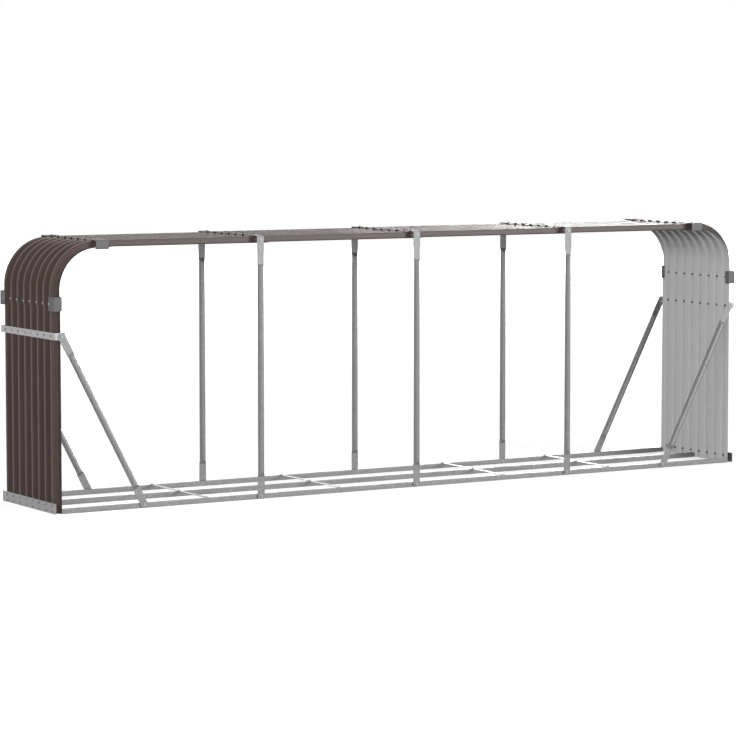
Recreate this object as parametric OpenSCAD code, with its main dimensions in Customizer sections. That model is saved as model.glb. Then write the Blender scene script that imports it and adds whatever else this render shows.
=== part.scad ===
// Open log store of ribbed steel sheet, tube posts and a base of tube rails.
// X runs along the store, Y from front to back, Z up. The origin is on the ground at its centre.

/* [Overall] */
// Length between the outer faces of the two end panels' flat pans
wall_span = 4684; // [3600:2:5600]
// Depth of every ribbed sheet, front edge to back edge
sheet_depth = 710; // [700:1:760]
// Height from the ground to the rib tops at the low side of a lap
roof_h = 1527; // [1400:1:1700]

/* [Ribbed sheet] */
// Thickness of the sheet steel
sheet_t = 0.6; // [0.5:0.1:1.2]
// Number of ribs across a sheet
rib_count = 8; // [5:1:8]
// Distance from rib to rib
rib_pitch = 86; // [70:1:88]
// Height of a rib over the flat pans
rib_h = 35; // [25:1:40]
// Width of a rib across its flat top
rib_top_w = 20; // [14:1:26]
// Width that each side of a rib slopes out from top to foot
rib_flare = 7; // [5:0.5:10]
// Play between two nested sheets, measured up from the lower one
lap_play = 0.4; // [0.3:0.1:1]

/* [Corner and roof sheets] */
// Radius of the corner bend, at the outer face of the pans
bend_r = 237; // [180:1:300]
// How far the end panels stop short of the height where the corner bends start
panel_drop = 30; // [10:1:60]
// Overlap of a corner sheet over its end panel
wall_lap = 65; // [50:1:90]
// Distance from the middle of the store to the laps of the corner sheets
corner_lap_x = 2079; // [1600:1:2500]
// Distance from the middle post to the left post, at the left lap between roof sheets
left_post_x = 1065; // [800:1:1300]
// Distance from the middle post to the right post, at the right lap between roof sheets
right_post_x = 1094; // [800:1:1300]
// Overlap of one roof sheet over the next
roof_lap = 105; // [100:1:130]
// How far the fourth roof sheet stops short of the corner's bend
bend_clear = 5; // [2:1:10]

/* [Base rails] */
// Width of a rail tube
rail_w = 20; // [18:1:30]
// Height of a rail tube
rail_h = 30; // [24:1:40]
// Wall of a rail tube
rail_wall = 1.2; // [1:0.1:2]
// Play between a reduced tube end and the tube that slips over it
rail_play = 0.3; // [0.2:0.1:0.5]
// Length of a reduced tube end
splice_len = 240; // [150:5:300]
// Distance from the middle of the store to the rails' left joints
left_joint_x = 1257; // [1150:1:1350]
// Distance from the middle of the store to the rails' middle joints, left of it
middle_joint_x = 57; // [30:1:120]
// Distance from the middle of the store to the rails' right joints
right_joint_x = 1023; // [850:1:1100]

/* [Cross straps] */
// Width of the flat straps across the rails
strap_w = 25; // [20:1:40]
// Thickness of the flat straps
strap_t = 3; // [2:0.5:5]
// Distance of the two outer straps from the middle of the store
strap_outer_x = 1415; // [1300:5:1600]
// Distance of the left inner strap from the middle of the store
strap_left_x = 530; // [400:5:700]
// Distance of the right inner strap from the middle of the store
strap_right_x = 635; // [400:5:700]
// How far a strap stops short of the rails' outer faces
strap_inset = 3; // [1:1:8]

/* [Base plates] */
// Height of the flat bar outside the foot of each end panel
plate_h = 60; // [40:1:90]
// Thickness of that flat bar
plate_t = 3; // [2:0.5:5]

/* [Posts and braces] */
// Outer diameter of the tubes
tube_d = 36; // [25:1:38]
// Width of a flattened tube end
flat_w = 46; // [36:1:56]
// Thickness of a flattened tube end
flat_t = 3; // [2:0.5:5]
// Length of a flattened tube end at a foot, and at the top of a brace
flat_len = 125; // [80:5:180]
// Length of a post's flattened upper end, below its bend
head_flat_len = 160; // [100:5:220]
// Length over which a tube changes from round to flat
neck_len = 30; // [15:1:50]
// Thickness of the spacer behind each foot
spacer_t = 4; // [4:0.5:8]
// Diameter of the spacer behind each foot
spacer_d = 16; // [12:1:22]
// Height of a post's lower end over the ground
post_foot_gap = 3; // [1:1:8]
// Height of a post's foot bolt
post_bolt_z = 17; // [14:1:20]
// Distance from the middle of the store to the braces' foot bolts
brace_foot_x = 1826; // [1500:2:2200]
// Height of a brace's foot bolt
brace_foot_z = 21; // [18:1:24]
// Gap between a brace's rounded foot and the ground
brace_foot_gap = 1; // [0.5:0.5:3]

/* [End bands] */
// Width of the strap around each end panel
band_h = 40; // [30:1:50]
// Thickness of that strap
band_t = 3; // [2:0.5:4]
// Height of the middle of that strap
band_z = 1001; // [900:1:1050]
// Length that the strap is bent round, from its outer face
band_return = 65; // [60:1:90]
// Distance from the end of a bent strap to the brace's top bolt
band_bolt_inset = 22; // [15:1:28]

/* [Lap clips] */
// Length of a clip along the sheet's edge
clip_len = 80; // [60:1:100]
// Width over a clip's two legs
clip_w = 52; // [49:1:60]
// Thickness of a clip
clip_t = 3; // [2:0.5:4]
// Length of a clip's inner leg
clip_inner_leg = 35; // [20:1:60]
// Play between the sheets' edges and what wraps round them
edge_play = 1; // [0.5:0.5:1]

/* [Hidden] */
$fn = 64;

coat = [0.29, 0.24, 0.23];
zinc = [0.66, 0.67, 0.67];

wall_x = wall_span / 2;
edge_y = sheet_depth / 2;
// Nested ribs slide sideways into each other, so a lap lifts the upper sheet by more than its thickness
rib_slope = atan(rib_flare / rib_h);
lap_rise = sheet_t / sin(rib_slope) + lap_play;
pan_z = roof_h - rib_h;
outer_rib_y = rib_pitch * (rib_count - 1) / 2;

// The bend of a corner sheet, which stands outside its end panel by one lap
bend_x = wall_x + lap_rise - bend_r;
bend_z = pan_z - bend_r;
panel_h = bend_z - panel_drop;
corner_foot_z = panel_h - wall_lap;

// Laps from left to right, and how far the upper sheet of each reaches left of its bolts
lap_x = [-corner_lap_x, -left_post_x, 0, right_post_x, corner_lap_x];
lap_lead = [40, 38, 55, 66, 78];
post_places = [lap_x[1], lap_x[2], lap_x[3]];

// Seats that the posts, braces, bands and clips share
wrap_y = edge_y + edge_play;
rib_face_x = wall_x + rib_h;
bar_y = edge_y + spacer_t;
seat_play = 0.2;
leg_z = roof_h + lap_rise + seat_play;
leg_tip_y = outer_rib_y - rib_top_w / 2;
brace_top_x = rib_face_x + band_t - band_return + band_bolt_inset;
lap_bolt_z = corner_foot_z + wall_lap / 3;

// Half the width of a rib's outer face, at a height over the pans
function rib_half(level) = rib_top_w / 2 + rib_flare * (rib_h - level) / rib_h;
// Sideways room that the sheet's thickness takes in a rib's sloping side
side_t = sheet_t / cos(rib_slope);
function rib_y(i) = (i - (rib_count - 1) / 2) * rib_pitch;

// The ribbed sheet seen from its end: [place across the sheet, height over the pans]
outer_line = [
    [-edge_y, 0],
    for (i = [0:rib_count - 1]) each [
        [rib_y(i) - rib_half(0), 0],
        [rib_y(i) - rib_half(rib_h), rib_h],
        [rib_y(i) + rib_half(rib_h), rib_h],
        [rib_y(i) + rib_half(0), 0]
    ],
    [edge_y, 0]
];
inner_line = [
    [edge_y, -sheet_t],
    for (i = [rib_count - 1:-1:0]) each [
        [rib_y(i) + rib_half(-sheet_t) - side_t, -sheet_t],
        [rib_y(i) + rib_half(rib_h - sheet_t) - side_t, rib_h - sheet_t],
        [rib_y(i) - rib_half(rib_h - sheet_t) + side_t, rib_h - sheet_t],
        [rib_y(i) - rib_half(-sheet_t) + side_t, -sheet_t]
    ],
    [-edge_y, -sheet_t]
];
sheet_line = concat(outer_line, inner_line);

// A flat ribbed sheet: ribs along X from x0 to x1, ribs up, pans' outer face at Z = 0
module flat_sheet(x0, x1) {
    translate([x0, 0, 0]) rotate([90, 0, 90])
        linear_extrude(height = x1 - x0) polygon(sheet_line);
}

// A standing ribbed sheet: ribs up and down, facing -X, pans' outer face at X = 0
module standing_sheet(z0, z1) {
    translate([0, 0, z0]) rotate([0, 0, 90])
        linear_extrude(height = z1 - z0) polygon(sheet_line);
}

// The end panel of the left end
module end_panel() {
    color(coat) translate([-wall_x, 0, 0]) standing_sheet(0, panel_h);
}

// The left corner sheet: a foot over the end panel, a quarter bend and a roof part up to edge_x
module corner_sheet(edge_x) {
    color(coat) union() {
        translate([-bend_x - bend_r, 0, 0]) standing_sheet(corner_foot_z, bend_z);
        translate([-bend_x, 0, bend_z]) rotate([90, 0, 180])
            rotate_extrude(angle = 90)
            polygon([for (p = sheet_line) [bend_r + p[1], p[0]]]);
        translate([0, 0, pan_z]) flat_sheet(-bend_x, -edge_x);
    }
}

// The right corner sheet lies on the fourth roof sheet, so all of it stands higher by one lap
module right_corner() {
    translate([0, 0, lap_rise]) mirror([1, 0, 0]) corner_sheet(corner_lap_x - lap_lead[4]);
}

// Roof sheets lie like shingles: each one's left end is lifted onto its neighbour
module roof_sheet(i) {
    span = lap_x[i] - lap_x[i - 1];
    start = -span - lap_lead[i - 1];
    end = min(roof_lap - lap_lead[i], bend_x - bend_clear - lap_x[i]);
    color(coat) translate([lap_x[i], 0, pan_z]) rotate([0, asin(lap_rise / span), 0])
        flat_sheet(start, end);
}

// Rails: four tubes end to end, the reduced right end of each inside the next
rail_start = [-wall_x + sheet_t, -left_joint_x, -middle_joint_x, right_joint_x, wall_x - sheet_t];
// How far a cut runs past what it cuts
overcut = 1;

// A rectangular tube along X from x0 to x1
module tube_length(x0, x1, shrink) {
    wide = rail_w - 2 * shrink;
    high = rail_h - 2 * shrink;
    difference() {
        translate([x0, -wide / 2, shrink]) cube([x1 - x0, wide, high]);
        translate([x0 - overcut, -wide / 2 + rail_wall, shrink + rail_wall])
            cube([x1 - x0 + 2 * overcut, wide - 2 * rail_wall, high - 2 * rail_wall]);
    }
}

// One tube of a rail whose centre line is at y
module rail(i, y) {
    x0 = rail_start[i - 1];
    x1 = rail_start[i];
    shrink = rail_wall + rail_play;
    color(zinc) translate([0, y, 0]) union() {
        tube_length(x0, x1, 0);
        if (i < 4) {
            tube_length(x1 - rail_wall, x1 + splice_len, shrink);
            difference() {
                translate([x1 - rail_wall, -rail_w / 2, 0]) cube([rail_wall, rail_w, rail_h]);
                translate([x1 - rail_wall - overcut, -rail_w / 2 + shrink + rail_wall,
                           shrink + rail_wall])
                    cube([rail_wall + 2 * overcut, rail_w - 2 * (shrink + rail_wall),
                          rail_h - 2 * (shrink + rail_wall)]);
            }
        }
    }
}
front_rail_y = -edge_y + rail_w / 2;
rear_rail_y = edge_y - rail_w / 2;

// A flat strap across the three rails
module cross_strap(x) {
    reach = edge_y - strap_inset;
    color(zinc) translate([x - strap_w / 2, -reach, rail_h]) cube([strap_w, 2 * reach, strap_t]);
}

// The flat bar outside the foot of the left end panel
module base_plate() {
    color(zinc) translate([-rib_face_x - plate_t, -edge_y, 0]) cube([plate_t, sheet_depth, plate_h]);
}

// The strap round the left end panel, bent back along the front and the rear
module end_band() {
    outer_y = wrap_y + band_t;
    color(zinc) translate([-rib_face_x - band_t, 0, band_z - band_h / 2]) union() {
        translate([0, -outer_y, 0]) cube([band_t, 2 * outer_y, band_h]);
        for (side = [-1, 1])
            translate([0, side * (outer_y - band_t / 2) - band_t / 2, 0])
                cube([band_return, band_t, band_h]);
    }
}

// Thickness of the two slices that a neck is stretched between
neck_slice = flat_t / 30;

// The change from a flattened end to the round tube, up along Z
module neck() {
    hull() {
        translate([-flat_w / 2, -flat_t / 2, 0]) cube([flat_w, flat_t, neck_slice]);
        translate([0, 0, neck_len - neck_slice]) cylinder(d = tube_d, h = neck_slice, $fn = 32);
    }
}

// A tube along Z with its lower and upper ends flattened square to Y
module flat_ended_tube(length, upper_flat) {
    lower = flat_len + neck_len;
    upper = upper_flat + neck_len;
    translate([-flat_w / 2, -flat_t / 2, 0]) cube([flat_w, flat_t, flat_len]);
    translate([0, 0, flat_len]) neck();
    translate([0, 0, lower]) cylinder(d = tube_d, h = length - lower - upper);
    translate([0, 0, length - upper_flat]) mirror([0, 0, 1]) neck();
    translate([-flat_w / 2, -flat_t / 2, length - upper_flat]) cube([flat_w, flat_t, upper_flat]);
}

// A front post: the upper flattened end is bent back over the first rib and bolted down
module post(x) {
    color(zinc) translate([x, -bar_y - flat_t / 2, 0]) union() {
        translate([0, 0, post_foot_gap])
            flat_ended_tube(leg_z + flat_t - post_foot_gap, head_flat_len);
        translate([-flat_w / 2, -flat_t / 2, leg_z])
            cube([flat_w, bar_y + flat_t - leg_tip_y, flat_t]);
    }
}

// The front left brace, from its bolt on the rail up to its bolt on the end band
module brace() {
    run = brace_top_x - brace_foot_x;
    rise = band_z - brace_foot_z;
    reach = sqrt(run * run + rise * rise);
    color(zinc) translate([-brace_foot_x, -bar_y - flat_t / 2, brace_foot_z])
        rotate([0, -atan2(run, rise), 0]) union() {
            flat_ended_tube(reach, flat_len);
            for (z = [0, reach])
                translate([0, flat_t / 2, z]) rotate([90, 0, 0])
                    cylinder(d = min(flat_w, 2 * (brace_foot_z - brace_foot_gap)), h = flat_t);
        }
}

// A channel that wraps the sheets' front edge: legs back along Y, the outer leg's seat at Z = 0
module clip() {
    outer_leg = wrap_y + clip_t - leg_tip_y;
    translate([-clip_len / 2, -wrap_y - clip_t, 0]) union() {
        cube([clip_len, outer_leg, clip_t]);
        translate([0, 0, clip_t - clip_w]) cube([clip_len, clip_t, clip_w]);
        translate([0, 0, clip_t - clip_w]) cube([clip_len, clip_inner_leg, clip_t]);
    }
}

// The two clips of the front left corner: one on the roof lap, one on the wall lap
module corner_clips() {
    color(zinc) translate([-corner_lap_x, 0, leg_z]) clip();
    color(zinc) translate([-rib_face_x - lap_rise, 0, lap_bolt_z]) rotate([0, -90, 0]) clip();
}

// Spacers between the rails and the feet of the posts and braces
module foot_spacers() {
    color(zinc) for (side = [-1, 1]) {
        for (x = post_places) foot_spacer(x, side, post_bolt_z);
        for (x = [-brace_foot_x, brace_foot_x]) foot_spacer(x, side, brace_foot_z);
    }
}
module foot_spacer(x, side, z) {
    translate([x, side * (edge_y + spacer_t / 2) + spacer_t / 2, z]) rotate([90, 0, 0])
        cylinder(d = spacer_d, h = spacer_t);
}

end_panel();  // left_end_panel
mirror([1, 0, 0]) end_panel();  // right_end_panel
corner_sheet(corner_lap_x + lap_lead[0] - roof_lap);  // left_corner_sheet
right_corner();  // right_corner_sheet
roof_sheet(1);  // roof_sheet_1
roof_sheet(2);  // roof_sheet_2
roof_sheet(3);  // roof_sheet_3
roof_sheet(4);  // roof_sheet_4
rail(1, front_rail_y);  // front_rail_1
rail(2, front_rail_y);  // front_rail_2
rail(3, front_rail_y);  // front_rail_3
rail(4, front_rail_y);  // front_rail_4
rail(1, 0);  // middle_rail_1
rail(2, 0);  // middle_rail_2
rail(3, 0);  // middle_rail_3
rail(4, 0);  // middle_rail_4
rail(1, rear_rail_y);  // rear_rail_1
rail(2, rear_rail_y);  // rear_rail_2
rail(3, rear_rail_y);  // rear_rail_3
rail(4, rear_rail_y);  // rear_rail_4
cross_strap(-strap_outer_x);  // cross_strap_1
cross_strap(-strap_left_x);  // cross_strap_2
cross_strap(strap_right_x);  // cross_strap_3
cross_strap(strap_outer_x);  // cross_strap_4
base_plate();  // left_base_plate
mirror([1, 0, 0]) base_plate();  // right_base_plate
end_band();  // left_end_band
mirror([1, 0, 0]) end_band();  // right_end_band
post(post_places[0]);  // front_post_1
post(post_places[1]);  // front_post_2
post(post_places[2]);  // front_post_3
mirror([0, 1, 0]) post(post_places[0]);  // rear_post_1
mirror([0, 1, 0]) post(post_places[1]);  // rear_post_2
mirror([0, 1, 0]) post(post_places[2]);  // rear_post_3
brace();  // front_left_brace
mirror([1, 0, 0]) brace();  // front_right_brace
mirror([0, 1, 0]) brace();  // rear_left_brace
mirror([1, 0, 0]) mirror([0, 1, 0]) brace();  // rear_right_brace
corner_clips();  // front_left_clips
mirror([1, 0, 0]) corner_clips();  // front_right_clips
mirror([0, 1, 0]) corner_clips();  // rear_left_clips
mirror([1, 0, 0]) mirror([0, 1, 0]) corner_clips();  // rear_right_clips
foot_spacers();
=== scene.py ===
# A long open log store: ribbed sheet steel over a frame of thin galvanised tube.
# X runs along the store, Y from front to back and Z up, in metres.
import math

import bmesh
import bpy
import numpy as np
from mathutils import Euler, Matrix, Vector


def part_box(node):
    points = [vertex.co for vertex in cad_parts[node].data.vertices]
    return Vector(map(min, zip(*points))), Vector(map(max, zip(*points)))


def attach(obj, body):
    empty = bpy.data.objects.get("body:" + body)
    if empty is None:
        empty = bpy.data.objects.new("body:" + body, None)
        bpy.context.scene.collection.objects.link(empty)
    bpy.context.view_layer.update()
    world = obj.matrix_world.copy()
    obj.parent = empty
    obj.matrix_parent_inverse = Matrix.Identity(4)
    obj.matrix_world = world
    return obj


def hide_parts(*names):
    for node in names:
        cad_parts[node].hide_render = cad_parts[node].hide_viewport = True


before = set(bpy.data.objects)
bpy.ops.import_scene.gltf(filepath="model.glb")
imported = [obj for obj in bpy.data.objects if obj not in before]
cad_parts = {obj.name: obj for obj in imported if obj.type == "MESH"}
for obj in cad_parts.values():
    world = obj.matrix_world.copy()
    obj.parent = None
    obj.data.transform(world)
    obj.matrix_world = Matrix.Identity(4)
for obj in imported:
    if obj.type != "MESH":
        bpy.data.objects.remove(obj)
scene = bpy.context.scene
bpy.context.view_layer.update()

# ---------------------------------------------------------------------------
# The view: a long lens a little above the roof, off the left end, held level
# and turned slightly down. The whole store is in it, with room round it.
# ---------------------------------------------------------------------------
camera_place = Vector((-9.921, -16.231, 2.417))
camera_turn = math.radians(31.12)
camera_dip = math.radians(5.196)
film_width = 36.0
lens_length = 153.91

camera_data = bpy.data.cameras.new("Camera")
camera_data.sensor_width = film_width
camera_data.lens = lens_length
camera = bpy.data.objects.new("Camera", camera_data)
camera.location = camera_place
camera.rotation_euler = Euler((math.pi / 2 - camera_dip, 0.0, -camera_turn))
scene.collection.objects.link(camera)
scene.camera = camera

# ---------------------------------------------------------------------------
# Base rails: three runs of thin-walled rectangular tube along the ground.
# Each run is four lengths; the right end of a length is drawn down and slips
# into the next one. The steel is galvanised, with a faint spangle.
# ---------------------------------------------------------------------------


def shader_node(tree, kind, **sockets):
    """Adds a shader node and sets the sockets that are given by name."""
    node = tree.nodes.new(kind)
    for name, value in sockets.items():
        node.inputs[name.replace("_", " ")].default_value = value
    return node


def mix_colour(tree, factor, dark, light):
    """A mix of two colours by a factor socket; gives the colour socket."""
    mix = tree.nodes.new("ShaderNodeMix")
    mix.data_type = "RGBA"
    colour_inputs = [s for s in mix.inputs if s.type == "RGBA"]
    colour_inputs[0].default_value = (*dark, 1.0)
    colour_inputs[1].default_value = (*light, 1.0)
    tree.links.new(factor, mix.inputs[0])
    return [s for s in mix.outputs if s.type == "RGBA"][0]


spangle_scale = 90.0
spangle_share = 0.45
bloom_share = 0.55


def zinc_coat(name, dark, light, roughness=(0.38, 0.52), metal=0.75):
    """Galvanised steel: flat crystals of slightly different grey, and a fine bloom over them."""
    material = bpy.data.materials.new(name)
    material.use_nodes = True
    tree = material.node_tree
    shader = tree.nodes["Principled BSDF"]
    place = tree.nodes.new("ShaderNodeTexCoord")
    crystals = shader_node(tree, "ShaderNodeTexVoronoi", Scale=spangle_scale, Randomness=1.0)
    bloom = shader_node(tree, "ShaderNodeTexNoise", Scale=14.0, Detail=5.0, Roughness=0.6)
    tree.links.new(place.outputs["Object"], crystals.inputs["Vector"])
    tree.links.new(place.outputs["Object"], bloom.inputs["Vector"])
    grey = tree.nodes.new("ShaderNodeSeparateColor")
    tree.links.new(crystals.outputs["Color"], grey.inputs["Color"])
    blend = tree.nodes.new("ShaderNodeMath")
    blend.operation = "MULTIPLY_ADD"
    blend.inputs[1].default_value = spangle_share
    tree.links.new(grey.outputs["Red"], blend.inputs[0])
    cloud = tree.nodes.new("ShaderNodeMath")
    cloud.operation = "MULTIPLY"
    cloud.inputs[1].default_value = bloom_share
    tree.links.new(bloom.outputs["Fac"], cloud.inputs[0])
    tree.links.new(cloud.outputs[0], blend.inputs[2])
    tree.links.new(mix_colour(tree, blend.outputs[0], dark, light), shader.inputs["Base Color"])
    rough = shader_node(tree, "ShaderNodeMapRange")
    rough.inputs["To Min"].default_value = roughness[0]
    rough.inputs["To Max"].default_value = roughness[1]
    tree.links.new(blend.outputs[0], rough.inputs["Value"])
    tree.links.new(rough.outputs["Result"], shader.inputs["Roughness"])
    grain = shader_node(tree, "ShaderNodeTexNoise", Scale=420.0, Detail=2.0)
    tree.links.new(place.outputs["Object"], grain.inputs["Vector"])
    bump = shader_node(tree, "ShaderNodeBump", Strength=0.12, Distance=0.0004)
    tree.links.new(grain.outputs["Fac"], bump.inputs["Height"])
    tree.links.new(bump.outputs["Normal"], shader.inputs["Normal"])
    shader.inputs["Metallic"].default_value = metal
    return material


def make_piece(name, mesh, material=None, smooth_under=32.0):
    """Finishes a mesh as a named piece that rides on the store and takes its finish from a slot, if any."""
    if material is not None:
        mesh.materials.clear()
        mesh.materials.append(material)
    mesh.shade_smooth()
    mesh.set_sharp_from_angle(angle=math.radians(smooth_under))
    piece = bpy.data.objects.new(name, mesh)
    scene.collection.objects.link(piece)
    flats = piece.modifiers.new("Flat faces", "WEIGHTED_NORMAL")
    flats.keep_sharp = True
    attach(piece, "root")
    return piece


def rounded_loop(half_wide, half_high, radius, steps=3):
    """Points round a rectangle with rounded corners, as (across, up) pairs."""
    points = []
    for quarter, (side, top) in enumerate(((1, 1), (-1, 1), (-1, -1), (1, -1))):
        for step in range(steps + 1):
            turn = math.radians(90.0 * (quarter + step / steps))
            points.append((side * (half_wide - radius) + radius * math.cos(turn),
                           top * (half_high - radius) + radius * math.sin(turn)))
    return points


def skin_rings(rings, closed_ends=True):
    """A mesh through rings of points, each ring with as many points as the next."""
    build = bmesh.new()
    made = [[build.verts.new(point) for point in ring] for ring in rings]
    count = len(rings[0])
    for first, second in zip(made, made[1:]):
        for i in range(count):
            j = (i + 1) % count
            build.faces.new((first[i], first[j], second[j], second[i]))
    if closed_ends:
        build.faces.new(list(reversed(made[0])))
        build.faces.new(made[-1])
    bmesh.ops.remove_doubles(build, verts=build.verts, dist=1e-6)
    bmesh.ops.recalc_face_normals(build, faces=build.faces)
    mesh = bpy.data.meshes.new("skin")
    build.to_mesh(mesh)
    build.free()
    return mesh


galvanised = zinc_coat("galvanised_tube", (0.175, 0.175, 0.178), (0.26, 0.26, 0.263))

rail_wall = 0.0012
rail_corner = 0.003
rail_splice_play = 0.0003
splice_reduction = rail_wall + rail_splice_play
shoulder_length = 0.006
least_corner = 0.0015
lengths_in_a_rail = 4


def tube_rings(x_marks, centre_y, half_wide, half_high, centre_z):
    """Rings round a rectangular tube; each mark is (x, how far the section is drawn in there)."""
    return [
        [(x, centre_y + across, centre_z + up) for across, up in
         rounded_loop(half_wide - drawn, half_high - drawn, max(rail_corner - drawn, least_corner))]
        for x, drawn in x_marks
    ]


def rail_length(node, has_splice):
    """One tube of a rail, open at both ends, with its drawn right end where it has one."""
    low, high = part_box(node)
    centre_y, centre_z = (low.y + high.y) / 2, (low.z + high.z) / 2
    half_wide, half_high = (high.y - low.y) / 2, (high.z - low.z) / 2
    marks = [(low.x, 0.0)]
    if has_splice:
        full_end = high.x - splice_length
        marks += [(full_end - shoulder_length, 0.0), (full_end, splice_reduction), (high.x, splice_reduction)]
    else:
        marks += [(high.x, 0.0)]
    outside = tube_rings(marks, centre_y, half_wide, half_high, centre_z)
    inner_marks = [(x, drawn + rail_wall) for x, drawn in reversed(marks)]
    inside = tube_rings(inner_marks, centre_y, half_wide, half_high, centre_z)
    rings = outside + inside + [outside[0]]
    mesh = skin_rings(rings, closed_ends=False)
    piece = make_piece(node + "_tube", mesh, galvanised)
    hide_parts(node)


splice_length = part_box("front_rail_1")[1].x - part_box("front_rail_2")[0].x
rail_rows = ("front", "middle", "rear")
for row in rail_rows:
    for number in range(1, lengths_in_a_rail + 1):
        rail_length(f"{row}_rail_{number}", has_splice=number < lengths_in_a_rail)

# ---------------------------------------------------------------------------
# Cross straps and base plates: galvanised flat bar. The straps tie the three
# rails together, and a wider bar is bolted across the foot of each end panel.
# ---------------------------------------------------------------------------
bright_zinc = zinc_coat("galvanised_strip", (0.28, 0.28, 0.283), (0.40, 0.40, 0.403), roughness=(0.34, 0.48))
plate_zinc = zinc_coat("galvanised_plate", (0.23, 0.23, 0.233), (0.33, 0.33, 0.333))
strip_edge = 0.0006
strap_total = 4


def flat_bar(name, node, material):
    """A straight bar with softened edges, in the place of a node."""
    low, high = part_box(node)
    build = bmesh.new()
    bmesh.ops.create_cube(build, size=1.0)
    for vert in build.verts:
        vert.co = [(low[i] + high[i]) / 2 + vert.co[i] * (high[i] - low[i]) for i in range(3)]
    bmesh.ops.bevel(build, geom=build.edges[:], offset=strip_edge, segments=2, profile=0.5, affect="EDGES")
    bmesh.ops.recalc_face_normals(build, faces=build.faces)
    mesh = bpy.data.meshes.new(name)
    build.to_mesh(mesh)
    build.free()
    piece = make_piece(name, mesh, material)
    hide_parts(node)


for number in range(1, strap_total + 1):
    flat_bar(f"cross_strap_bar_{number}", f"cross_strap_{number}", bright_zinc)
for end in ("left", "right"):
    flat_bar(f"{end}_base_plate_bar", f"{end}_base_plate", plate_zinc)

# ---------------------------------------------------------------------------
# Ribbed sheets: roll-formed steel 0.6 mm thick, with eight ribs pressed out
# of it. The weather side has a brown coat, the inside a pale grey primer,
# except under a sprung end, where the brown is painted shade.
# The two end panels stand on the ground with their ribs upright.
# ---------------------------------------------------------------------------
rib_total = 8
rib_pitch = 0.086
rib_rise = 0.035
rib_crown = 0.020
rib_flare = 0.007
sheet_gauge = 0.0006
fold_radius = 0.005
fold_steps = 3
sheet_bend_radius = 0.237
sheet_bend_steps = 28
spring_length = 0.024
spring_rise = 0.008
spring_cuts = 4
# From the middle of the sheet outwards: free as far as the first, held beyond the second.
free_up_to = 0.232
held_from = 0.252


def coat(name, base, roughness, mottle, depth, gloss=0.5):
    """A baked coat of paint: an even colour with a slight mottle, and a very fine orange peel."""
    material = bpy.data.materials.new(name)
    material.use_nodes = True
    tree = material.node_tree
    shader = tree.nodes["Principled BSDF"]
    place = tree.nodes.new("ShaderNodeTexCoord")
    cloud = shader_node(tree, "ShaderNodeTexNoise", Scale=3.5, Detail=6.0, Roughness=0.6)
    tree.links.new(place.outputs["Object"], cloud.inputs["Vector"])
    dark = [c * (1.0 - mottle) for c in base]
    light = [min(1.0, c * (1.0 + mottle)) for c in base]
    tree.links.new(mix_colour(tree, cloud.outputs["Fac"], dark, light), shader.inputs["Base Color"])
    rough = shader_node(tree, "ShaderNodeMapRange")
    rough.inputs["To Min"].default_value = roughness[0]
    rough.inputs["To Max"].default_value = roughness[1]
    tree.links.new(cloud.outputs["Fac"], rough.inputs["Value"])
    tree.links.new(rough.outputs["Result"], shader.inputs["Roughness"])
    peel = shader_node(tree, "ShaderNodeTexNoise", Scale=700.0, Detail=2.0)
    tree.links.new(place.outputs["Object"], peel.inputs["Vector"])
    bump = shader_node(tree, "ShaderNodeBump", Strength=0.05, Distance=depth)
    tree.links.new(peel.outputs["Fac"], bump.inputs["Height"])
    tree.links.new(bump.outputs["Normal"], shader.inputs["Normal"])
    shader.inputs["Specular IOR Level"].default_value = gloss
    return material


brown_coat = coat("brown_coat", (0.064, 0.046, 0.043), (0.25, 0.32), 0.10, 0.0002, gloss=0.17)
pale_primer = coat("pale_primer", (0.495, 0.495, 0.50), (0.60, 0.75), 0.03, 0.0003, gloss=0.0)


def socket(tree, name, kind, value=None, is_output=False):
    """Adds a named input or output to a node group."""
    made = tree.interface.new_socket(name, in_out="OUTPUT" if is_output else "INPUT", socket_type=kind)
    if value is not None:
        made.default_value = value
    return made


def wire(tree, kind, settings=None, **inputs):
    """Adds a geometry node; each input is a socket to link or a plain value."""
    node = tree.nodes.new(kind)
    for name, value in (settings or {}).items():
        setattr(node, name, value)
    for name, value in inputs.items():
        target = node.inputs[int(name[1:])] if name[0] == "_" else node.inputs[name.replace("_", " ")]
        if isinstance(value, bpy.types.NodeSocket):
            tree.links.new(value, target)
        else:
            target.default_value = value
    return node


def maths(tree, operation, first, second=0.0):
    """One sum of two numbers or sockets; gives the result's socket."""
    return wire(tree, "ShaderNodeMath", {"operation": operation}, _0=first, _1=second).outputs[0]


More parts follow.
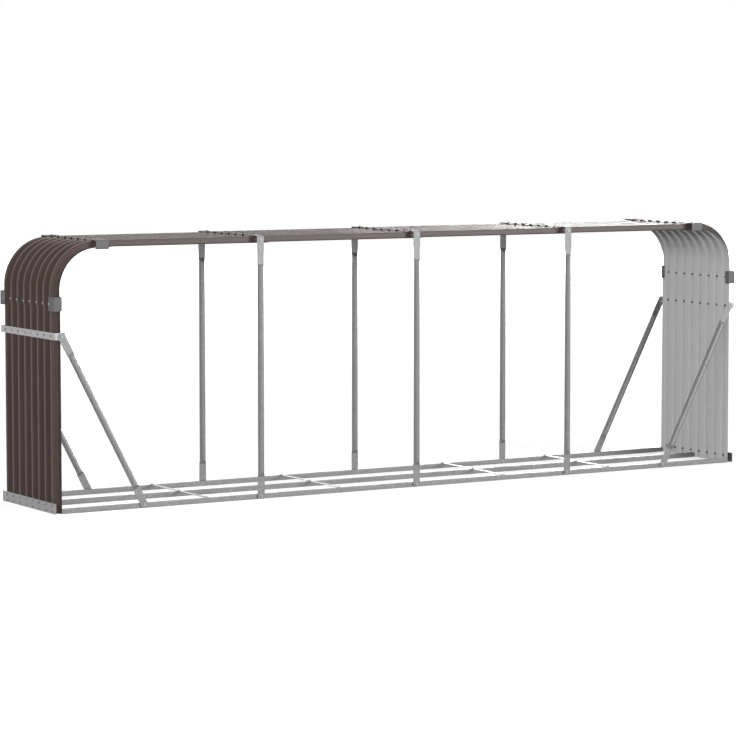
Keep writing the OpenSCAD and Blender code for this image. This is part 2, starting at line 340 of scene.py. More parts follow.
def ribbed_sheet_tree():
    """Geometry nodes that fold a ribbed section and run it along the sheet's path."""
    tree = bpy.data.node_groups.new("Ribbed sheet", "GeometryNodeTree")
    socket(tree, "Path", "NodeSocketGeometry")
    socket(tree, "Ribs", "NodeSocketInt", rib_total)
    for name in ("Pitch", "Rise", "Crown", "Flare", "Width", "Fold radius", "Bend radius"):
        socket(tree, name, "NodeSocketFloat", 0.01)
    socket(tree, "Coat", "NodeSocketMaterial")
    socket(tree, "Sheet", "NodeSocketGeometry", is_output=True)
    given = tree.nodes.new("NodeGroupInput").outputs
    result = tree.nodes.new("NodeGroupOutput")

    # The section has four points to a rib, and one at each edge of the sheet.
    last = maths(tree, "MULTIPLY_ADD", given["Ribs"], 4.0)
    tree.nodes[-1].inputs[2].default_value = 1.0
    corners = maths(tree, "ADD", last, 1.0)
    index = tree.nodes.new("GeometryNodeInputIndex").outputs[0]
    place = maths(tree, "SUBTRACT", index, 1.0)
    rib = maths(tree, "FLOOR", maths(tree, "DIVIDE", place, 4.0))
    corner = maths(tree, "SUBTRACT", maths(tree, "SUBTRACT", place, maths(tree, "MULTIPLY", rib, 4.0)), 1.5)
    side = maths(tree, "SIGN", corner)
    at_foot = maths(tree, "GREATER_THAN", maths(tree, "ABSOLUTE", corner), 1.0)
    middle_rib = maths(tree, "MULTIPLY", maths(tree, "SUBTRACT", given["Ribs"], 1.0), 0.5)
    centre = maths(tree, "MULTIPLY", maths(tree, "SUBTRACT", rib, middle_rib), given["Pitch"])
    half = maths(tree, "ADD", maths(tree, "MULTIPLY", given["Crown"], 0.5),
                 maths(tree, "MULTIPLY", at_foot, given["Flare"]))
    across = maths(tree, "ADD", centre, maths(tree, "MULTIPLY", side, half))
    up = maths(tree, "MULTIPLY", maths(tree, "SUBTRACT", 1.0, at_foot), given["Rise"])

    # The first and the last point are the sheet's edges, level with the pans.
    is_first = maths(tree, "LESS_THAN", index, 0.5)
    is_last = maths(tree, "GREATER_THAN", index, maths(tree, "SUBTRACT", last, 0.5))
    is_edge = maths(tree, "ADD", is_first, is_last)
    edge = maths(tree, "MULTIPLY", maths(tree, "SUBTRACT", is_last, is_first),
                 maths(tree, "MULTIPLY", given["Width"], 0.5))
    inside = maths(tree, "SUBTRACT", 1.0, is_edge)
    across = maths(tree, "ADD", maths(tree, "MULTIPLY", across, inside), edge)
    up = maths(tree, "MULTIPLY", up, inside)
    section_point = wire(tree, "ShaderNodeCombineXYZ", X=across, Y=up).outputs[0]
    line = wire(tree, "GeometryNodeMeshLine", Count=corners).outputs[0]
    section = wire(tree, "GeometryNodeSetPosition", Geometry=line, Position=section_point).outputs[0]
    section = wire(tree, "GeometryNodeMeshToCurve", Mesh=section).outputs[0]
    section = wire(tree, "GeometryNodeFilletCurve", {"mode": "POLY"}, Curve=section,
                   Count=fold_steps, Radius=given["Fold radius"], Limit_Radius=True).outputs[0]

    # The path is bent round its corner and keeps its cross direction along Y.
    path = wire(tree, "GeometryNodeMeshToCurve", Mesh=given["Path"]).outputs[0]
    path = wire(tree, "GeometryNodeFilletCurve", {"mode": "POLY"}, Curve=path,
                Count=sheet_bend_steps, Radius=given["Bend radius"], Limit_Radius=False).outputs[0]
    path = wire(tree, "GeometryNodeSetCurveNormal", {"mode": "FREE"}, Curve=path,
                Normal=(0.0, 1.0, 0.0)).outputs[0]
    sheet = wire(tree, "GeometryNodeCurveToMesh", Curve=path, Profile_Curve=section).outputs[0]
    sheet = wire(tree, "GeometryNodeFlipFaces", Mesh=sheet).outputs[0]
    sheet = wire(tree, "GeometryNodeSetMaterial", Geometry=sheet, Material=given["Coat"]).outputs[0]
    tree.links.new(sheet, result.inputs[0])
    return tree


sheet_tree = ribbed_sheet_tree()


def holder_of(name, mesh):
    """A passing object that carries modifiers until they are run."""
    holder = bpy.data.objects.new(name, mesh)
    scene.collection.objects.link(holder)
    return holder


def run_modifiers(holder):
    """Gives the plain mesh of an object with its modifiers run, and removes the object."""
    evaluated = holder.evaluated_get(bpy.context.evaluated_depsgraph_get())
    result = bpy.data.meshes.new_from_object(evaluated)
    result.name = holder.name
    bpy.data.objects.remove(holder)
    return result


def apply_tree(name, mesh, tree, values):
    """Runs a node tree on a mesh and gives the result as a plain mesh."""
    holder = holder_of(name, mesh)
    modifier = holder.modifiers.new("Form", "NODES")
    modifier.node_group = tree
    for item in tree.interface.items_tree:
        if item.in_out == "INPUT" and item.name in values:
            modifier[item.identifier] = values[item.name]
    return run_modifiers(holder)


def spring_end(mesh, end_x):
    """Lets a sheet's left end spring up a little, except over the outer ribs, which are held down."""
    build = bmesh.new()
    build.from_mesh(mesh)
    for cut in range(1, spring_cuts + 1):
        bmesh.ops.bisect_plane(build, geom=build.verts[:] + build.edges[:] + build.faces[:], dist=1e-6,
                               plane_co=(end_x + spring_length * cut / spring_cuts, 0.0, 0.0),
                               plane_no=(1.0, 0.0, 0.0))
    for vert in build.verts:
        along = max(0.0, 1.0 - (vert.co.x - end_x) / spring_length)
        free = min(max((held_from - abs(vert.co.y)) / (held_from - free_up_to), 0.0), 1.0)
        vert.co.z += spring_rise * along * along * free
    build.to_mesh(mesh)
    build.free()


def ribbed_sheet(node, path_points, springs=False):
    """A ribbed sheet whose pans follow a path from left to right, given as (x, z) pairs."""
    path = bpy.data.meshes.new(node + "_path")
    path.from_pydata([(x, 0.0, z) for x, z in path_points],
                     [(i, i + 1) for i in range(len(path_points) - 1)], [])
    low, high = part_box(node)
    mesh = apply_tree(node + "_sheet", path, sheet_tree, {
        "Ribs": rib_total, "Pitch": rib_pitch, "Rise": rib_rise, "Crown": rib_crown, "Flare": rib_flare,
        "Width": high.y - low.y, "Fold radius": fold_radius, "Bend radius": sheet_bend_radius,
        "Coat": brown_coat,
    })
    mesh.materials.append(pale_primer)
    left_end = path_points[0][0]
    if springs:
        spring_end(mesh, left_end)
    holder = holder_of(node + "_sheet", mesh)
    wall = holder.modifiers.new("Gauge", "SOLIDIFY")
    wall.thickness = sheet_gauge
    wall.offset = -1.0
    wall.use_even_offset = True
    wall.material_offset = 1
    mesh = run_modifiers(holder)
    # The underside of a sprung end takes the brown coat instead of the primer: painted shade, so the gap
    # under the lapped edge reads dark.
    if springs:
        for face in mesh.polygons:
            if face.center.x < left_end + spring_length:
                face.material_index = 0
    piece = make_piece(node + "_sheet", mesh)
    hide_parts(node)


low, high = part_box("left_end_panel")
ribbed_sheet("left_end_panel", [(low.x + rib_rise, low.z), (low.x + rib_rise, high.z)])
low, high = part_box("right_end_panel")
ribbed_sheet("right_end_panel", [(high.x - rib_rise, high.z), (high.x - rib_rise, low.z)])

# ---------------------------------------------------------------------------
# Corner sheets: the same ribbed sheet rolled through a quarter turn. Each one
# laps over the outside of its end panel and carries the end of the roof. A
# left end that lies on another sheet springs up a little between its clips.
# ---------------------------------------------------------------------------
low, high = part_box("left_corner_sheet")
pan_x, pan_z = low.x + rib_rise, high.z - rib_rise
ribbed_sheet("left_corner_sheet", [(pan_x, low.z), (pan_x, pan_z), (high.x, pan_z)])
low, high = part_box("right_corner_sheet")
pan_x, pan_z = high.x - rib_rise, high.z - rib_rise
ribbed_sheet("right_corner_sheet", [(low.x, pan_z), (pan_x, pan_z), (pan_x, low.z)], springs=True)

# ---------------------------------------------------------------------------
# Roof sheets: four straight lengths, laid like shingles. The left end of each
# rests on its neighbour, so every sheet falls slightly to the right.
# ---------------------------------------------------------------------------
roof_sheet_total = 4
for number in range(1, roof_sheet_total + 1):
    low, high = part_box(f"roof_sheet_{number}")
    ribbed_sheet(f"roof_sheet_{number}", [(low.x, high.z - rib_rise), (high.x, low.z + sheet_gauge)],
                 springs=True)

# ---------------------------------------------------------------------------
# Posts and braces: round galvanised tube, pressed flat at both ends. A post's
# upper end is bent over the first rib of the roof, and a brace's ends are
# rounded. Each is skinned over sections that turn from flat to round.
# ---------------------------------------------------------------------------
tube_radius = 0.018
pressed_half = 0.023
pressed_gauge = 0.003
foot_flat = 0.125
head_flat = 0.160
neck_length = 0.030
neck_steps = 8
tube_steps = 8
least_flat = 0.0001
posts_in_a_row = 3
post_bend = 0.006
brace_foot = (1.826, 0.021)
brace_tip = 0.020
band_bolt_inset = 0.022
lengthwise = Vector((1.0, 0.0, 0.0))
post_zinc = zinc_coat("galvanised_post", (0.165, 0.165, 0.168), (0.25, 0.25, 0.253))


def rounded_path(corners, radius, steps=6):
    """Points along a line through corners, with each inner corner turned by a radius."""
    points = [corners[0]]
    for before, corner, after in zip(corners, corners[1:], corners[2:]):
        back, ahead = (before - corner).normalized(), (after - corner).normalized()
        half_angle = back.angle(ahead) / 2
        reach = radius / math.tan(half_angle)
        centre = corner + (back + ahead).normalized() * radius / math.sin(half_angle)
        first = (corner + back * reach - centre).normalized()
        last = (corner + ahead * reach - centre).normalized()
        points += [centre + first.slerp(last, step / steps) * radius for step in range(steps + 1)]
    return points + [corners[-1]]


def path_length(points):
    """How long a line through points is."""
    return sum((after - before).length for before, after in zip(points, points[1:]))


def add_marks(points, marks):
    """The same line, with a point added at each distance along it."""
    gone = np.array([path_length(points[:i + 1]) for i in range(len(points))])
    places = np.array([list(point) for point in points])
    every = np.unique(np.round(np.concatenate((gone, np.clip(marks, 0.0, gone[-1]))), 6))
    return [Vector([np.interp(distance, gone, places[:, axis]) for axis in range(3)]) for distance in every]


def sweep(points, across, section_at):
    """Skins sections along a flat line; section_at gives (across, facing) pairs at a distance."""
    rings = []
    for i, point in enumerate(points):
        along = (points[min(i + 1, len(points) - 1)] - points[max(i - 1, 0)]).normalized()
        facing = along.cross(across)
        section = section_at(path_length(points[:i + 1]))
        rings.append([point + across * u + facing * v for u, v in section])
    return skin_rings(rings)


def pressed_tube(name, node, line, across, upper_flat_from, material, tip=0.0):
    """A tube along a line, pressed flat at its foot and from a distance on, with rounded tips if asked."""
    total = path_length(line)
    shares = np.linspace(0.0, 1.0, neck_steps + 1)
    rounding = tip * (1.0 - np.cos(shares * math.pi / 2))
    marks = np.concatenate((foot_flat + neck_length * shares, upper_flat_from - neck_length * shares,
                            rounding, total - rounding))

    def section_at(gone):
        share = min(max(min(gone - foot_flat, upper_flat_from - gone) / neck_length, 0.0), 1.0)
        roundness = share * share * (3.0 - 2.0 * share)
        half_wide = pressed_half + (tube_radius - pressed_half) * roundness
        half_thick = pressed_gauge / 2 + (tube_radius - pressed_gauge / 2) * roundness
        from_tip = min(gone, total - gone)
        if from_tip < tip:
            half_wide *= math.sqrt(1.0 - ((tip - from_tip) / tip) ** 2)
        return rounded_loop(max(half_wide, half_thick + least_flat), half_thick, half_thick, tube_steps)

    mesh = sweep(add_marks(line, marks), across, section_at)
    piece = make_piece(name, mesh, material)
    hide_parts(node)


def tube_line_y(node):
    """The middle of a tube that stands proud of the store's front or rear."""
    low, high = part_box(node)
    return low.y + tube_radius if low.y + high.y < 0 else high.y - tube_radius


for row in ("front", "rear"):
    for number in range(1, posts_in_a_row + 1):
        node = f"{row}_post_{number}"
        low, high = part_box(node)
        x, y = (low.x + high.x) / 2, tube_line_y(node)
        leg_tip = high.y if row == "front" else low.y
        leg_z = high.z - pressed_gauge / 2
        corners = [Vector((x, y, low.z)), Vector((x, y, leg_z)), Vector((x, leg_tip, leg_z))]
        pressed_tube(node + "_tube", node, rounded_path(corners, post_bend), lengthwise,
                     high.z - head_flat - low.z, post_zinc)

band_low, band_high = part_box("left_end_band")
brace_top = (-band_high.x + band_bolt_inset, (band_low.z + band_high.z) / 2)
for row in ("front", "rear"):
    for end, side in (("left", -1.0), ("right", 1.0)):
        node = f"{row}_{end}_brace"
        y = tube_line_y(node)
        foot = Vector((side * brace_foot[0], y, brace_foot[1]))
        top = Vector((side * brace_top[0], y, brace_top[1]))
        along = (top - foot).normalized()
        line = [foot - along * brace_tip, top + along * brace_tip]
        pressed_tube(node + "_tube", node, line, Vector((along.z, 0.0, -along.x)),
                     path_length(line) - foot_flat, galvanised, brace_tip)

# ---------------------------------------------------------------------------
# End bands and lap clips: folded galvanised strip. A band goes round each end
# panel, and a channel clip closes each end of the corner sheets' laps.
# ---------------------------------------------------------------------------
upright = Vector((0.0, 0.0, 1.0))
band_gauge = 0.003
band_bend = 0.004
clip_length = 0.080
clip_width = 0.052
clip_gauge = 0.003
clip_inner_leg = 0.035
clip_bend = 0.0035
dull_zinc = zinc_coat("galvanised_clip", (0.083, 0.083, 0.085), (0.12, 0.12, 0.122), roughness=(0.45, 0.58))


def folded_strip(name, corners, across, half_wide, gauge, bend, material):
    """A strip folded along a line in one plane, its edges slightly softened."""
    section = rounded_loop(half_wide, gauge / 2, strip_edge, steps=2)
    mesh = sweep(rounded_path(corners, bend), across, lambda gone: section)
    return make_piece(name, mesh, material)


for end, side in (("left", -1.0), ("right", 1.0)):
    node = f"{end}_end_band"
    low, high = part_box(node)
    tip_x = high.x if side < 0 else low.x
    face_x = (low.x if side < 0 else high.x) - side * band_gauge / 2
    front_y, rear_y = low.y + band_gauge / 2, high.y - band_gauge / 2
    z = (low.z + high.z) / 2
    corners = [Vector((tip_x, front_y, z)), Vector((face_x, front_y, z)),
               Vector((face_x, rear_y, z)), Vector((tip_x, rear_y, z))]
    strip = folded_strip(node + "_strip", corners, upright, (high.z - low.z) / 2, band_gauge, band_bend,
                         bright_zinc)
    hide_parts(node)


def channel(face, tip, outer, inner, inner_leg):
    """The middle line of a clip as (depth, height) pairs: outer leg, web and inner leg."""
    half = clip_gauge / 2
    back = math.copysign(1.0, tip - face)
    drop = math.copysign(1.0, inner - outer)
    return [(tip, outer + drop * half), (face + back * half, outer + drop * half),
            (face + back * half, inner - drop * half), (face + back * inner_leg, inner - drop * half)]


for row in ("front", "rear"):
    for end, side in (("left", -1.0), ("right", 1.0)):
        node = f"{row}_{end}_clips"
        low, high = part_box(node)
        face_y, tip_y = (low.y, high.y) if row == "front" else (high.y, low.y)
        inner_x, outer_x = (high.x, low.x) if end == "left" else (low.x, high.x)
        roof_x = inner_x + side * clip_length / 2
        wall_z = low.z + clip_length / 2
        roof_line = channel(face_y, tip_y, high.z, high.z - clip_width, clip_inner_leg)
        wall_line = channel(face_y, tip_y, outer_x, outer_x - side * clip_width, clip_inner_leg)
        roof_clip = folded_strip(f"{row}_{end}_roof_clip", [Vector((roof_x, y, z)) for y, z in roof_line],
                                 lengthwise, clip_length / 2, clip_gauge, clip_bend, dull_zinc)
        wall_clip = folded_strip(f"{row}_{end}_wall_clip", [Vector((x, y, wall_z)) for y, x in wall_line],
                                 upright, clip_length / 2, clip_gauge, clip_bend, dull_zinc)
        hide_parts(node)
        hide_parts(node)

# ---------------------------------------------------------------------------
# Foot spacers: round black plastic spacers between the rails and the feet of
# the posts and braces; their black also paints the shade in the gap beside
# each foot. The imported solids have the right shape and stay.
# ---------------------------------------------------------------------------
# Painted shade: the spacers' black stands partly for the shade beside each foot.
black_plastic_and_shade = coat("black_plastic_and_shade", (0.02, 0.02, 0.021), (0.45, 0.60), 0.15, 0.0002)
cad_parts["foot_spacers"].material_slots[0].material = black_plastic_and_shade

# ---------------------------------------------------------------------------
# Bolts: zinc-plated hexagon bolts, each with a washer, and a nut at the other
# end of its grip. A grip of nothing is a screw. Long plastic caps cover the
# nuts in the ribs of the end walls.
# ---------------------------------------------------------------------------
bolt_sizes = {
    "Washer radius": 0.0075, "Washer height": 0.0012, "Hexagon radius": 0.0058, "Chamfer": 0.0006,
    "Head height": 0.0042, "Nut height": 0.0052, "Thread radius": 0.003, "Thread end": 0.0035,
}
hexagon_taper = 0.86
thread_taper = 0.8
hexagon_sides = 6
washer_sides = 24
thread_sides = 16
least_grip = 0.0005
bolt_zinc = zinc_coat("bolt_zinc", (0.30, 0.30, 0.303), (0.42, 0.42, 0.423),
                      roughness=(0.38, 0.50), metal=0.9)


def disc(tree, sides, lower_radius, upper_radius, height, lift):
    """A closed prism or cone round Z, lifted off the seat, in the nodes for bolts and caps."""
    cone = wire(tree, "GeometryNodeMeshCone", Vertices=sides, Radius_Top=upper_radius,
                Radius_Bottom=lower_radius, Depth=height).outputs[0]
    up = wire(tree, "ShaderNodeCombineXYZ", Z=lift).outputs[0]
    return wire(tree, "GeometryNodeTransform", Geometry=cone, Translation=up).outputs[0]


def join(tree, parts):
    """All the parts as one geometry, in the bolt nodes."""
    node = tree.nodes.new("GeometryNodeJoinGeometry")
    for part in parts:
        tree.links.new(part, node.inputs[0])
    return node.outputs[0]


def bolt_nodes():
    """Geometry nodes that turn points with a facing, a grip and a size into bolts and nuts."""
    tree = bpy.data.node_groups.new("Bolts", "GeometryNodeTree")
    socket(tree, "Points", "NodeSocketGeometry")
    for name, value in bolt_sizes.items():
        socket(tree, name, "NodeSocketFloat", value)
    socket(tree, "Steel", "NodeSocketMaterial")
    socket(tree, "Bolts", "NodeSocketGeometry", is_output=True)
    given = tree.nodes.new("NodeGroupInput").outputs
    result = tree.nodes.new("NodeGroupOutput")
    facing, grip, size = (
        wire(tree, "GeometryNodeInputNamedAttribute", {"data_type": kind}, Name=name).outputs[0]
        for name, kind in (("facing", "FLOAT_VECTOR"), ("grip", "FLOAT"), ("size", "FLOAT")))
    spin = wire(tree, "FunctionNodeRandomValue", {"data_type": "FLOAT"}, _2=0.0,
                _3=2 * math.pi / hexagon_sides, Seed=7).outputs[1]

    on_washer = given["Washer height"]

    def hexagon(height):
        """The two parts of a hexagon head or nut on its washer: the body, and the top that tapers in."""
        radius = given["Hexagon radius"]
        straight = maths(tree, "SUBTRACT", height, given["Chamfer"])
        body = disc(tree, hexagon_sides, radius, radius, straight, on_washer)
        top = disc(tree, hexagon_sides, radius, maths(tree, "MULTIPLY", radius, hexagon_taper),
                   given["Chamfer"], maths(tree, "ADD", on_washer, straight))
        return body, top

    washer = disc(tree, washer_sides, given["Washer radius"], given["Washer radius"], on_washer, 0.0)
    head = join(tree, (washer, *hexagon(given["Head height"])))
    thread = disc(tree, thread_sides, given["Thread radius"],
                  maths(tree, "MULTIPLY", given["Thread radius"], thread_taper),
                  maths(tree, "ADD", given["Nut height"], given["Thread end"]), on_washer)
    nut = join(tree, (washer, *hexagon(given["Nut height"]), thread))

    made = []
    for shape, way, keep in ((head, 1.0, None), (nut, -1.0, maths(tree, "GREATER_THAN", grip, least_grip))):
        direction = wire(tree, "ShaderNodeVectorMath", {"operation": "SCALE"}, Vector=facing,
                         Scale=way).outputs[0]
        turn = wire(tree, "FunctionNodeAlignRotationToVector", {"axis": "Z"}, Vector=direction).outputs[0]
        own_spin = wire(tree, "FunctionNodeAxisAngleToRotation", Axis=(0.0, 0.0, 1.0), Angle=spin).outputs[0]
        turn = wire(tree, "FunctionNodeRotateRotation", {"rotation_space": "LOCAL"}, Rotation=turn,
                    Rotate_By=own_spin).outputs[0]
        shift = maths(tree, "MULTIPLY", grip, 0.0 if way > 0 else 1.0)
        offset = wire(tree, "ShaderNodeVectorMath", {"operation": "SCALE"}, Vector=direction,
                      Scale=shift).outputs[0]
        places = wire(tree, "GeometryNodeSetPosition", Geometry=given["Points"], Offset=offset).outputs[0]
        placed = wire(tree, "GeometryNodeInstanceOnPoints", Points=places, Instance=shape, Rotation=turn,
                      Scale=size)
        if keep is not None:
            tree.links.new(keep, placed.inputs["Selection"])
        made.append(placed.outputs[0])
    solid = wire(tree, "GeometryNodeRealizeInstances", Geometry=join(tree, made)).outputs[0]
    solid = wire(tree, "GeometryNodeSetMaterial", Geometry=solid, Material=given["Steel"]).outputs[0]
    tree.links.new(solid, result.inputs[0])
    return tree


bolt_tree = bolt_nodes()


def bolt_set(name, bolts):
    """Bolts as one piece; each is (x, y, z of its seat, facing, grip, size)."""
    points = bpy.data.meshes.new(name + "_points")
    points.from_pydata([bolt[:3] for bolt in bolts], [], [])
    points.attributes.new("facing", "FLOAT_VECTOR", "POINT").data.foreach_set(
        "vector", [value for bolt in bolts for value in bolt[3]])
    points.attributes.new("grip", "FLOAT", "POINT").data.foreach_set("value", [bolt[4] for bolt in bolts])
    points.attributes.new("size", "FLOAT", "POINT").data.foreach_set("value", [bolt[5] for bolt in bolts])
    mesh = apply_tree(name, points, bolt_tree, {**bolt_sizes, "Steel": bolt_zinc})
    make_piece(name, mesh)


def end_of(node, side):
    """How far a node reaches to the left, or to the right where side is above zero."""
    low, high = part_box(node)
    return low.x if side < 0 else high.x


seat_play = 0.0002
rib_places = [(i - (rib_total - 1) / 2) * rib_pitch for i in range(rib_total)]
lap_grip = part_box("right_corner_sheet")[1].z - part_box("left_corner_sheet")[1].z + sheet_gauge
clip_low, clip_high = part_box("front_left_clips")
lap_places = [clip_high.x - clip_length / 2]
lap_places += [sum(corner.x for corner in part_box(f"front_post_{number}")) / 2
               for number in range(1, posts_in_a_row + 1)]
lap_places += [-lap_places[0]]
leg_top = clip_high.z
bolt_size = 1.0
foot_bolt_size = 1.1
splice_bolt_size = 0.8
strap_screw_size = 0.9

for number, x in enumerate(lap_places, start=1):
    bolts = []
    for y in rib_places:
        held = clip_gauge if y in (rib_places[0], rib_places[-1]) else -seat_play
        bolts.append((x, y, leg_top - clip_gauge + held, (0, 0, 1), held + lap_grip, bolt_size))
    bolt_set(f"roof_lap_bolts_{number}", bolts)

cap_sizes = {"Radius": 0.0072, "Length": 0.032}
cap_taper = 0.85
cap_sides = 20
cap_plastic = coat("cap_plastic", (0.09, 0.09, 0.09), (0.45, 0.60), 0.10, 0.0002)


def cap_nodes():
    """Geometry nodes that put a plastic cap on each point, facing away from the side that is given."""
    tree = bpy.data.node_groups.new("Nut caps", "GeometryNodeTree")
    socket(tree, "Points", "NodeSocketGeometry")
    for name, value in cap_sizes.items():
        socket(tree, name, "NodeSocketFloat", value)
    socket(tree, "Side", "NodeSocketFloat", 1.0)
    socket(tree, "Plastic", "NodeSocketMaterial")
    socket(tree, "Caps", "NodeSocketGeometry", is_output=True)
    given = tree.nodes.new("NodeGroupInput").outputs
    result = tree.nodes.new("NodeGroupOutput")
    cap = disc(tree, cap_sides, given["Radius"], maths(tree, "MULTIPLY", given["Radius"], cap_taper),
               given["Length"], 0.0)
    inwards = wire(tree, "ShaderNodeCombineXYZ", X=maths(tree, "MULTIPLY", given["Side"], -1.0)).outputs[0]
    turn = wire(tree, "FunctionNodeAlignRotationToVector", {"axis": "Z"}, Vector=inwards).outputs[0]
    placed = wire(tree, "GeometryNodeInstanceOnPoints", Points=given["Points"], Instance=cap, Rotation=turn)
    solid = wire(tree, "GeometryNodeRealizeInstances", Geometry=placed.outputs[0]).outputs[0]
    solid = wire(tree, "GeometryNodeSetMaterial", Geometry=solid, Material=given["Plastic"]).outputs[0]
    tree.links.new(solid, result.inputs[0])
    return tree


cap_tree = cap_nodes()


def nut_caps(name, seat_x, side, heights):
    """Long plastic caps over the nuts in the ribs of an end panel, as one piece."""
    points = bpy.data.meshes.new(name + "_points")
    points.from_pydata([(seat_x, y, z) for y in rib_places for z in heights], [], [])
    mesh = apply_tree(name, points, cap_tree, {**cap_sizes, "Side": side, "Plastic": cap_plastic})
    make_piece(name, mesh)


plate_rows = (0.011, 0.043)
for end, side in (("left", -1.0), ("right", 1.0)):
    facing = (side, 0, 0)
    wall_z = clip_low.z + clip_length / 2
    bolts = []
    for y in rib_places:
        under_clip = y in (rib_places[0], rib_places[-1])
        seat = end_of(f"front_{end}_clips" if under_clip else f"{end}_corner_sheet", side)
        bolts.append((seat, y, wall_z, facing, lap_grip + (clip_gauge if under_clip else 0.0), bolt_size))
    bolt_set(f"{end}_wall_lap_bolts", bolts)
    low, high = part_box(f"{end}_end_band")
    band_z = (low.z + high.z) / 2
    bolt_set(f"{end}_band_bolts", [
        (end_of(f"{end}_end_band", side), y, band_z, facing, band_gauge + sheet_gauge, bolt_size)
        for y in rib_places])
    panel_x = end_of(f"{end}_end_panel", side)
    nut_caps(f"{end}_nut_caps", panel_x - side * sheet_gauge, side, (wall_z, band_z, plate_rows[1]))
    plate_gauge = abs(end_of(f"{end}_base_plate", side) - panel_x)
    bolt_set(f"{end}_base_plate_bolts", [
        (end_of(f"{end}_base_plate", side), y, z, facing, plate_gauge + sheet_gauge, bolt_size)
        for y in rib_places for z in plate_rows])

post_bolt_z = 0.017
web_bolt_drop = 0.025
web_bolt_z = leg_top - web_bolt_drop
foot_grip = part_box("front_rail_1")[0].y - tube_line_y("front_post_1") + pressed_gauge / 2 + rail_wall
for row, side in (("front", -1.0), ("rear", 1.0)):
    facing = (0, side, 0)
    seat = tube_line_y(f"{row}_post_1") + side * pressed_gauge / 2
    post_bolts = []
    for x in lap_places[1:-1]:
        post_bolts.append((x, seat, post_bolt_z, facing, foot_grip, foot_bolt_size))
        post_bolts.append((x, seat, web_bolt_z, facing, pressed_gauge, bolt_size))
    bolt_set(f"{row}_post_bolts", post_bolts)
    brace_bolts = []
    for end in (-1.0, 1.0):
        brace_bolts.append((end * brace_foot[0], seat, brace_foot[1], facing, foot_grip, foot_bolt_size))
        brace_bolts.append((end * brace_top[0], seat, brace_top[1], facing, pressed_gauge + band_gauge,
                            bolt_size))
    bolt_set(f"{row}_brace_bolts", brace_bolts)

splice_bolt_places = (0.060, 0.180)
for row in rail_rows:
    bolts = []
    for number in range(2, lengths_in_a_rail + 1):
        low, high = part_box(f"{row}_rail_{number}")
        for lead in splice_bolt_places:
            bolts.append((low.x + lead, low.y, (low.z + high.z) / 2, (0, -1, 0), high.y - low.y,
                          splice_bolt_size))
    bolt_set(f"{row}_splice_bolts", bolts)

strap_screws = []
for number in range(1, strap_total + 1):
    low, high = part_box(f"cross_strap_{number}")
    for row in rail_rows:
        rail_low, rail_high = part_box(f"{row}_rail_1")
        strap_screws.append(((low.x + high.x) / 2, (rail_low.y + rail_high.y) / 2, high.z, (0, 0, 1), 0.0,
                             strap_screw_size))
bolt_set("cross_strap_screws", strap_screws)

# ---------------------------------------------------------------------------
# Floor and light: a plain pale studio floor in an even white room, which the
# camera and shiny metal see as plain white. Large soft panels light the front
# from both sides, and a low row of them at the back shines along the roof.
# ---------------------------------------------------------------------------
floor_reach = 60.0
floor_mesh = bpy.data.meshes.new("Floor")
floor_mesh.from_pydata([(x * floor_reach, y * floor_reach, 0.0)
                        for x, y in ((-1, -1), (1, -1), (1, 1), (-1, 1))], [], [(0, 1, 2, 3)])
floor = bpy.data.objects.new("Floor", floor_mesh)
scene.collection.objects.link(floor)

room_strength = 0.33
floor_pale = 0.90
floor_dull = 0.10
floor_glow = (0.25, 0.70)
glow_reach = (4.0, 14.0)


def seen_directly(tree):
    """One for a ray from the camera or a mirror-like surface, nothing for soft light."""
    path = tree.nodes.new("ShaderNodeLightPath")
    total = path.outputs["Is Camera Ray"]
    for name in ("Is Glossy Ray", "Is Transmission Ray"):
        add = tree.nodes.new("ShaderNodeMath")
        add.operation = "MAXIMUM"
        tree.links.new(total, add.inputs[0])
        tree.links.new(path.outputs[name], add.inputs[1])
        total = add.outputs[0]
    return total


floor_paint = bpy.data.materials.new("floor_paint")
floor_paint.use_nodes = True
tree = floor_paint.node_tree
shader = tree.nodes["Principled BSDF"]
shader.inputs["Roughness"].default_value = 1.0
shader.inputs["Specular IOR Level"].default_value = 0.0
direct = seen_directly(tree)
tree.links.new(mix_colour(tree, direct, [floor_dull] * 3, [floor_pale] * 3), shader.inputs["Base Color"])
place = tree.nodes.new("ShaderNodeTexCoord")
away = tree.nodes.new("ShaderNodeVectorMath")
away.operation = "LENGTH"
tree.links.new(place.outputs["Object"], away.inputs[0])
spread = shader_node(tree, "ShaderNodeMapRange", From_Min=glow_reach[0], From_Max=glow_reach[1],
                     To_Min=floor_glow[0], To_Max=floor_glow[1])
tree.links.new(away.outputs["Value"], spread.inputs["Value"])
glow = tree.nodes.new("ShaderNodeMath")
glow.operation = "MULTIPLY"
tree.links.new(spread.outputs["Result"], glow.inputs[0])
tree.links.new(direct, glow.inputs[1])
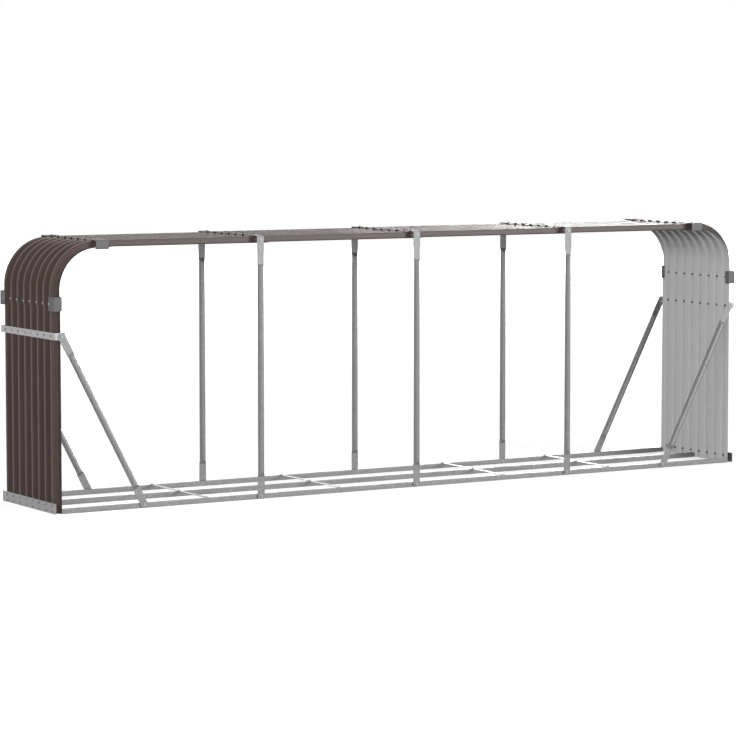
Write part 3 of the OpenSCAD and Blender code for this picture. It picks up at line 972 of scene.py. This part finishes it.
shader.inputs["Emission Color"].default_value = (1.0, 1.0, 1.0, 1.0)
tree.links.new(glow.outputs[0], shader.inputs["Emission Strength"])
floor_mesh.materials.append(floor_paint)

world = bpy.data.worlds.new("Studio")
scene.world = world
world.use_nodes = True
tree = world.node_tree
background = tree.nodes["Background"]
background.inputs["Color"].default_value = (1.0, 1.0, 1.0, 1.0)
strength = shader_node(tree, "ShaderNodeMapRange")
strength.inputs["To Min"].default_value = room_strength
strength.inputs["To Max"].default_value = 1.0
tree.links.new(seen_directly(tree), strength.inputs["Value"])
tree.links.new(strength.outputs["Result"], background.inputs["Strength"])

panel_aim = Vector((0.0, 0.0, 0.8))


def soft_panel(name, azimuth, elevation, distance, size, brightness, in_gloss=True, casts=True):
    """A light panel facing the store; azimuth is in degrees from the front, towards the left end."""
    turn, lift = math.radians(azimuth), math.radians(elevation)
    way = Vector((-math.sin(turn) * math.cos(lift), -math.cos(turn) * math.cos(lift), math.sin(lift)))
    data = bpy.data.lights.new(name, "AREA")
    data.shape = "RECTANGLE"
    data.size, data.size_y = size
    data.energy = brightness * math.pi * size[0] * size[1]
    panel = bpy.data.objects.new(name, data)
    panel.location = panel_aim + way * distance
    panel.rotation_euler = way.to_track_quat("Z", "Y").to_euler()
    panel.visible_camera = False
    panel.visible_glossy = in_gloss
    data.use_shadow = casts
    scene.collection.objects.link(panel)


soft_panel("high_fill", 49.0, 36.0, 18.0, (12.0, 5.0), 12.0, in_gloss=False, casts=False)
soft_panel("low_fill", 49.0, 11.0, 18.0, (12.0, 4.0), 7.0, in_gloss=False)
soft_panel("right_panel", -32.0, 15.0, 22.0, (10.0, 5.0), 14.5)
back_elevation = 6.0
back_distance = 26.0
back_height = 5.0
back_row = ((-146.0, 17.0, 2.9), (-134.5, 14.0, 4.9), (-131.5, 14.0, 5.5), (-129.7, 14.0, 12.0))
for number, (azimuth, width, brightness) in enumerate(back_row, start=1):
    soft_panel(f"back_panel_{number}", azimuth, back_elevation, back_distance, (width, back_height),
               brightness)
scene.view_settings.view_transform = "Standard"
